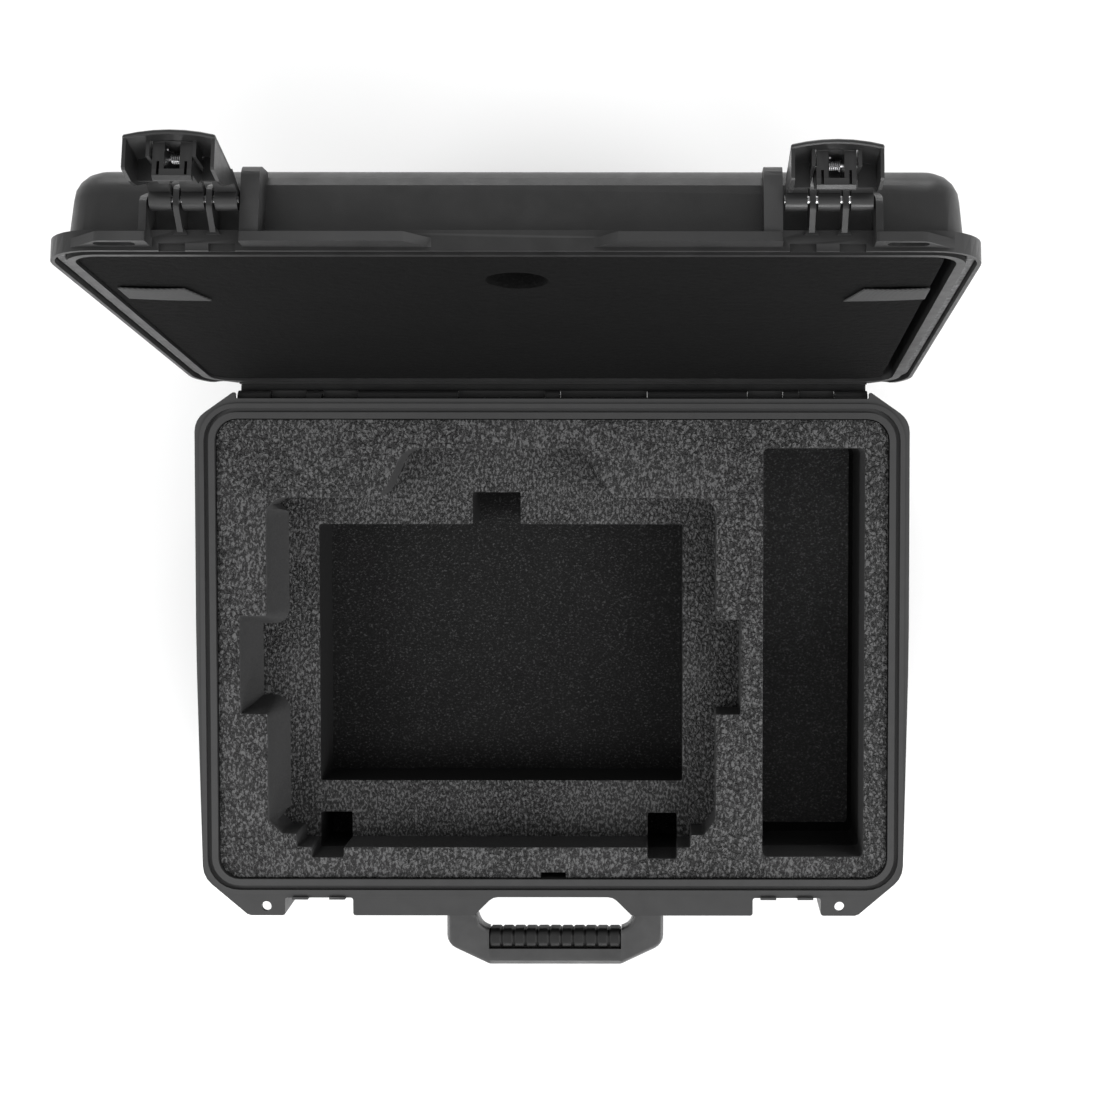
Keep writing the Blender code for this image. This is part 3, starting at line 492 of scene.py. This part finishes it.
def triangulated(outlines, step=None, dense=None):
    """Points and triangles that fill an outline around its holes.

    Inner points are a step apart and lie only in the dense box.
    """
    points = [tuple(corner) for outline in outlines for corner in outline]
    edges, start = [], 0
    for outline in outlines:
        count = len(outline)
        edges += [(start + index, start + (index + 1) % count) for index in range(count)]
        start += count
    if step:
        left, right, front, back = dense
        columns = np.arange(left, right, step)
        rows = np.arange(front, back, step * 0.866)
        grid = np.stack(np.meshgrid(columns, rows), axis=-1)
        grid[1::2, :, 0] += step / 2
        grid = grid.reshape(-1, 2)
        grid += np.random.default_rng(5).uniform(-0.22, 0.22, grid.shape) * step
        grid = grid[inside(grid, outlines)]
        grid = grid[~near(grid, outlines, step * 0.75)]
        points += [tuple(pair) for pair in grid]
    made = geometry.delaunay_2d_cdt([Vector(pair) for pair in points], edges, [], 0, 1e-7)
    found, faces, origins = made[0], made[2], made[3]
    centres = np.array([sum((found[corner] for corner in face), Vector((0, 0))) / 3 for face in faces])
    kept = inside(centres, outlines)
    order = {}
    for index, sources in enumerate(origins):
        for source in sources:
            order[index] = source
    places = [points[order[index]] if index in order else tuple(found[index]) for index in range(len(found))]
    back = [order.get(index, index) for index in range(len(found))]
    assert len(places) == len(points), "an outline crosses itself"
    return points, [tuple(back[corner] for corner in face) for face, good in zip(faces, kept) if good]


def rough(place, size, seed):
    """Smooth noise from -1 to 1 at a point, its features about one size across."""
    return noise.noise(Vector(place) / size + Vector((seed, 0, 0)))


def wall_depths(thickness, rows, turn=0.0):
    """(depth, inset) of each row of a wall below its soft top edge; the last rows turn in round an arc."""
    straight = thickness - turn
    levels = [(FOAM_EDGE + (straight - FOAM_EDGE) * row / rows, 0.0) for row in range(rows + 1)]
    if turn:
        angles = [math.radians(angle) for angle in (25, 50, 70)]
        levels += [(straight + turn * math.sin(angle), turn * (1 - math.cos(angle))) for angle in angles]
    return levels


def foam_layer(name, outlines, low, high, dense, lean=None, turn=0.0, blind=None):
    """Cut foam sheet: a dense uneven top, soft edges, walls in rows and a plain underside.

    lean(x, y, share) gives how far a wall stands into its cut-out at a share of the depth. The outer wall's
    far edge turns in by a radius. A blind cut-out, given by its number in the outlines, has a floor at its
    own depth.
    """
    blind = blind or {}
    outlines = [resampled(outline, SKIN_STEP * 1.3) for outline in outlines]
    points, faces = triangulated(outlines, SKIN_STEP, dense)
    shape = bmesh.new()
    rim_count = sum(len(outline) for outline in outlines)
    normals = [normal for outline in outlines for normal in side_normals(outline)]
    top = []
    for index, (x, y) in enumerate(points):
        z = high + SKIN_ROUGH * (rough((x, y, 0), 0.0042, 3) + 0.8 * rough((x, y, 0), 0.030, 7))
        if index < rim_count:
            x -= normals[index].x * FOAM_EDGE * EDGE_SHARE
            y -= normals[index].y * FOAM_EDGE * EDGE_SHARE
            z -= FOAM_EDGE * EDGE_SHARE
        top.append(shape.verts.new((x, y, z)))
    for face in faces:
        shape.faces.new([top[corner] for corner in face])
    start = 0
    under = []
    for number, outline in enumerate(outlines):
        count = len(outline)
        side = normals[start:start + count]
        thickness = blind.get(number, high - low)
        rows = 2 if number == 0 else max(3, round(thickness / WALL_STEP))
        above = top[start:start + count]
        for depth, inset in wall_depths(thickness, rows, 0.0 if number else turn):
            ring = []
            for (x, y), normal in zip(outline, side):
                reach = WALL_ROUGH * rough((x, y, high - depth), 0.004, 11) - inset
                if lean and number:
                    reach += lean(x, y, depth / thickness)
                ring.append(shape.verts.new((x + normal.x * reach, y + normal.y * reach, high - depth)))
            for index in range(count):
                after = (index + 1) % count
                shape.faces.new((above[index], ring[index], ring[after], above[after]))
            above = ring
        if number in blind:
            for face in triangulated([outline])[1]:
                shape.faces.new([above[corner] for corner in face])
        else:
            under.append(above)
        start += count
    _, plain = triangulated([outline for number, outline in enumerate(outlines) if number not in blind])
    flat = [corner for ring in under for corner in ring]
    for face in plain:
        shape.faces.new([flat[corner] for corner in reversed(face)])
    bmesh.ops.recalc_face_normals(shape, faces=shape.faces)
    mesh = bpy.data.meshes.new(name)
    shape.to_mesh(mesh)
    shape.free()
    mesh.shade_smooth()
    mesh.set_sharp_from_angle(angle=FOAM_SHARP_ANGLE)
    return mesh


# ---- pieces ---------------------------------------------------------------------------------------------


def shells(looks):
    moulded_copy("base_shell", "base_moulding", "base", looks["case"], "case_plastic", EDGE_LARGE,
                 whole=False)
    moulded_copy("lid_shell", "lid_moulding", "lid", looks["case"], "case_plastic", EDGE_MEDIUM,
                 whole=False)


def latches(looks):
    for word in ("left", "right"):
        moulded_copy("latch_body_" + word, "latch_" + word, "latch_" + word, looks["latch"], "latch_plastic",
                     EDGE_SMALL)
        moulded_copy("latch_button_" + word, "button_" + word, "button_" + word, looks["latch"],
                     "latch_plastic", EDGE_SMALL)


def handle(looks):
    moulded_copy("handle_frame", "handle_bail", "handle", looks["handle"], "handle_plastic", EDGE_SMALL)
    moulded_copy("handle_grip", "handle_ribs", "handle", looks["grip"], "grip_rubber", EDGE_SMALL)


def recess_slope(outline):
    """The recess's left walls, and its left tab's, run out at their foot; the others stand square."""
    left_ends = sorted({round(point.x, 4) for point in outline})
    tab_wall = left_ends[0]
    main_wall = next(x for x in left_ends if x > tab_wall + 0.008)

    def lean(x, y, share):
        if x > main_wall + 0.003:
            return 0.0
        return SLOPE_FOOT * share ** SLOPE_POWER
    return lean


def foam(looks):
    """The four layers of the inlay; only what shows is dense."""
    top_low, top_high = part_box("foam_top")
    middle_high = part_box("foam_middle")[1].z
    lower_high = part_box("foam_lower")[1].z
    pad_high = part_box("foam_pad")[1].z
    whole = (top_low.x, top_high.x, top_low.y, top_high.y)

    top_outlines = outlines_at("foam_top", top_high.z)
    middle_outlines = outlines_at("foam_middle", middle_high)
    lower_outlines = outlines_at("foam_lower", lower_high)
    pad_outlines = outlines_at("foam_pad", pad_high)

    def around(outline):
        xs, ys = [p.x for p in outline], [p.y for p in outline]
        return (min(xs), max(xs), min(ys), max(ys))

    slope = recess_slope(top_outlines[1])
    mesh = foam_layer("inlay_top", top_outlines, top_low.z, top_high.z, whole, lean=slope)
    made = piece("inlay_top", mesh, "base", looks["crackle"], "crackle_foam", "foam_top")
    recess = around(top_outlines[1])
    mesh = foam_layer("inlay_middle", middle_outlines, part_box("foam_middle")[0].z, middle_high, recess)
    # The middle layer's walls are darkened in colour: painted shade deep in the recess.
    made = piece("inlay_middle", mesh, "base", looks["crackle_painted_wall_shade"], "crackle_foam", "foam_middle")
    mesh = foam_layer("inlay_lower", lower_outlines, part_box("foam_lower")[0].z, lower_high, recess)
    made = piece("inlay_lower", mesh, "base", looks["fine"], "fine_foam", "foam_lower")
    bay = around(top_outlines[2])
    mesh = foam_layer("inlay_pad", pad_outlines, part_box("foam_pad")[0].z, pad_high, bay)
    # The pad's finish is fine foam painted lighter: painted light at the bottom of the bay.
    made = piece("inlay_pad", mesh, "base", looks["pad"], "fine_foam", "foam_pad")


def lid_pad(looks):
    """Lid cushion: one sawn slab with a finger hole, built face up and then turned over into the lid."""
    low, high = shut_box("lid_foam")
    outlines = outlines_at("lid_foam", low.z, SHUT)
    upside_down = Matrix.Diagonal((1, -1, -1, 1))
    flipped = [[Vector((point.x, -point.y)) for point in outline] for outline in outlines]
    whole = (low.x, high.x, -high.y, -low.y)
    finger_hole = {1: FINGER_DEPTH}
    mesh = foam_layer("lid_cushion", flipped, -high.z, -low.z, whole, turn=LID_FOAM_TURN, blind=finger_hole)
    mesh.transform(OPEN @ upside_down)
    # The cushion's finish is fine foam painted darker: painted shade on the lid's inner face.
    made = piece("lid_cushion", mesh, "lid", looks["lid_foam"], "fine_foam", "lid_foam")


def turned_box(node, turn):
    """Lowest and highest corners of a CAD node after a turn."""
    corners = [turn @ vertex.co for vertex in frame["nodes"][node].data.vertices]
    low = Vector(tuple(min(corner[axis] for corner in corners) for axis in range(3)))
    high = Vector(tuple(max(corner[axis] for corner in corners) for axis in range(3)))
    return low, high


def shut_box(node):
    """Lowest and highest corners of a lid node with the lid shut."""
    return turned_box(node, SHUT)


def seal(looks):
    """Lid gasket: a soft strip with rounded shoulders, swept round its channel."""
    low, high = shut_box("lid_gasket")
    outer, inner = [resampled(outline, SEAL_STEP) for outline in outlines_at("lid_gasket", low.z, SHUT)[:2]]
    tree = KDTree(len(inner))
    for index, corner in enumerate(inner):
        tree.insert((corner.x, corner.y, 0), index)
    tree.balance()
    shape = bmesh.new()
    rings = []
    for edge in outer:
        facing = Vector(tree.find((edge.x, edge.y, 0))[0][:2])
        across, ring = facing - edge, []
        for step in range(SEAL_SIDES):
            angle = math.tau * step / SEAL_SIDES
            share = 0.5 - 0.5 * math.copysign(abs(math.cos(angle)) ** SEAL_SQUARE, math.cos(angle))
            rise = 0.5 - 0.5 * math.copysign(abs(math.sin(angle)) ** SEAL_SQUARE, math.sin(angle))
            place = edge + across * share
            height = low.z + (high.z - low.z) * rise
            bumpy = SEAL_ROUGH * rough((place.x, place.y, rise), 0.004, 23)
            ring.append(shape.verts.new((*place, height + (bumpy if rise < 0.5 else 0.0))))
        rings.append(ring)
    for first, second in zip(rings, rings[1:] + rings[:1]):
        for step in range(SEAL_SIDES):
            after = (step + 1) % SEAL_SIDES
            shape.faces.new((first[step], first[after], second[after], second[step]))
    bmesh.ops.recalc_face_normals(shape, faces=shape.faces)
    mesh = bpy.data.meshes.new("lid_seal")
    shape.to_mesh(mesh)
    shape.free()
    mesh.transform(OPEN)
    mesh.shade_smooth()
    piece("lid_seal", mesh, "lid", looks["gasket"], "gasket", "lid_gasket")


def strap(looks, word, side):
    """Pull tab of webbing: it droops towards its inner end, which is cut on the slant."""
    low, high = shut_box("lid_strap_" + word)
    outer_end = low.x if side < 0 else high.x
    inner_end = high.x if side < 0 else low.x
    shape = bmesh.new()
    rows = []
    for step in range(STRAP_LENGTHS + 1):
        along = step / STRAP_LENGTHS
        row = []
        for band in range(STRAP_WIDTHS + 1):
            across = band / STRAP_WIDTHS
            reach = 1.0 - (1.0 - across) * STRAP_TIP / abs(inner_end - outer_end)
            x = outer_end + (inner_end - outer_end) * along * reach
            y = low.y + (high.y - low.y) * across + STRAP_DROOP * along ** 2 * (1.0 - 0.6 * (1 - across))
            lift = STRAP_LIFT * math.sin(math.pi * along) * (0.6 + 0.4 * math.sin(math.pi * across))
            row.append(shape.verts.new((x, y, high.z - STRAP_THICK - lift)))
        rows.append(row)
    for first, second in zip(rows, rows[1:]):
        for band in range(STRAP_WIDTHS):
            shape.faces.new((first[band], first[band + 1], second[band + 1], second[band]))
    bmesh.ops.recalc_face_normals(shape, faces=shape.faces)
    mesh = bpy.data.meshes.new("lid_tab_" + word)
    shape.to_mesh(mesh)
    shape.free()
    mesh.transform(OPEN)
    mesh.shade_smooth()
    made = piece("lid_tab_" + word, mesh, "lid", looks["webbing"], "webbing", "lid_strap_" + word)
    body = made.modifiers.new("thickness", "SOLIDIFY")
    body.thickness = STRAP_THICK
    body.offset = 0.0


def spring(looks, word):
    """Torsion spring round the latch button's pin: round wire in close turns, with a leg at each end."""
    low, high = latch_box("latch_spring_" + word, word)
    middle = (low + high) / 2
    half = (high.x - low.x) / 2 - SPRING_WIRE
    pin = latch_box("latch_button_pin_" + word, word)
    centre = (pin[0] + pin[1]) / 2
    steps = SPRING_TURNS * SPRING_STEPS
    points = [Vector((-half, centre.y - SPRING_LEG, low.z + SPRING_WIRE))]
    for step in range(steps + 1):
        angle = math.pi + math.tau * step / SPRING_STEPS
        x = half * (2 * step / steps - 1)
        y = centre.y + SPRING_COIL * math.cos(angle)
        points.append(Vector((x, y, centre.z + SPRING_COIL * math.sin(angle))))
    points.append(Vector((half, centre.y + SPRING_LEG, high.z - SPRING_WIRE)))
    curve = bpy.data.curves.new("latch_coil_" + word, "CURVE")
    curve.dimensions = "3D"
    curve.bevel_depth = SPRING_WIRE
    curve.bevel_resolution = 3
    curve.use_fill_caps = True
    spline = curve.splines.new("POLY")
    spline.points.add(len(points) - 1)
    for point, place in zip(spline.points, points):
        point.co = (*(latch_place(word) @ (place + Vector((middle.x, 0, 0)))), 1.0)
    spline.use_smooth = True
    piece("latch_coil_" + word, curve, "latch_" + word, looks["steel"], "steel", "latch_spring_" + word)


def latch_place(word):
    """Where a latch's own frame (pivot at the origin, latch upright) lies at rest."""
    latch = JOINTS["latch_" + word]
    lid = JOINTS["lid_hinge"]
    turn = math.radians(lid["range_deg"][1] + latch["range_deg"][1])
    return Matrix.Translation(latch["pos_m"]) @ Matrix.Rotation(-turn, 4, "X")


def latch_box(node, word):
    """Lowest and highest corners of a latch node in the latch's own frame."""
    return turned_box(node, latch_place(word).inverted())


def plain_nodes(looks):
    """Small turned and drawn parts keep their CAD solids and get their finish."""
    names = {
        "steel": ["hinge_pin_left", "hinge_pin_centre", "hinge_pin_right",
                  "handle_pin_left", "handle_pin_right",
                  "latch_button_pin_left", "latch_button_pin_right",
                  "latch_pivot_pin_left", "latch_pivot_pin_right"],
        "latch": ["valve_body", "valve_nut"],
        "grip": ["valve_o_ring", "valve_membrane"],
    }
    for look, nodes in names.items():
        for node in nodes:
            for socket in frame["nodes"][node].material_slots:
                socket.material = looks[look]


def main():
    make_camera()
    make_studio()
    looks = {
        "case": moulded_plastic("case plastic", 0.017, 0.42),
        "handle": moulded_plastic("handle plastic", 0.034, 0.34, 0.5),
        "latch": moulded_plastic("latch plastic", 0.013, 0.32, 0.5),
        "grip": grip_rubber(),
        "steel": steel(),
        "crackle": crackle_foam("crackle foam", 0.048),
        # The same crackle foam with much darker cut walls for the deeper middle layer: painted shade on its
        # walls.
        "crackle_painted_wall_shade": crackle_foam("crackle foam with painted wall shade", 0.016),
        "fine": fine_foam(),
        # The bay's pad is the same fine foam painted several times lighter: painted light on the bay floor.
        "pad": fine_foam("pad foam lightened as painted light", 0.068, 4.0),
        # The lid cushion is the same fine foam painted several times darker: painted shade on the open lid's
        # inner face.
        "lid_foam": fine_foam("lid foam darkened as painted shade", 0.0034, 2.8),
        "gasket": gasket_foam(),
        "webbing": webbing(),
    }
    shells(looks)
    latches(looks)
    handle(looks)
    foam(looks)
    lid_pad(looks)
    seal(looks)
    strap(looks, "left", -1)
    strap(looks, "right", 1)
    spring(looks, "left")
    spring(looks, "right")
    plain_nodes(looks)


main()
